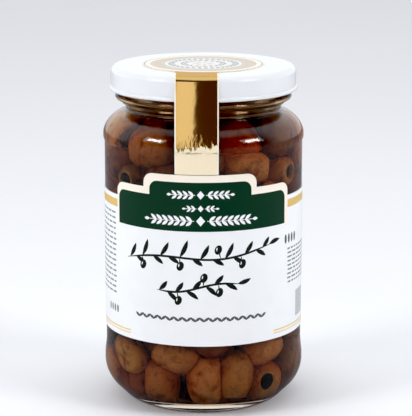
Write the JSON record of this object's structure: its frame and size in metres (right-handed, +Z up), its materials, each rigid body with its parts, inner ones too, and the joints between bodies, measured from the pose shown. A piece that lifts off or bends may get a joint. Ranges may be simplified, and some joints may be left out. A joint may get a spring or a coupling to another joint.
{
  "type": "jar of olives",
  "caption": "Round clear glass jar of pitted brown olives in oil, with a white twist-off lid, a stepped wrap-around paper label and a gold foil seal strip.",
  "frame": {"origin": "centre of the jar's foot ring, on the surface that the jar stands on", "axes": "+Z up along the jar's axis, -Y towards the front, where the label's tab and the seal strip are"},
  "size_m": [0.071, 0.0711, 0.1195],
  "materials": {
    "glass": "polished",
    "contents": "gloss",
    "lid": "gloss",
    "label": "satin",
    "foil": "polished"
  },
  "bodies": {
    "root": {"jar": "glass", "oil": "contents", "lid": "lid", "label": "label", "seal": "foil"}
  },
  "joints": []
}
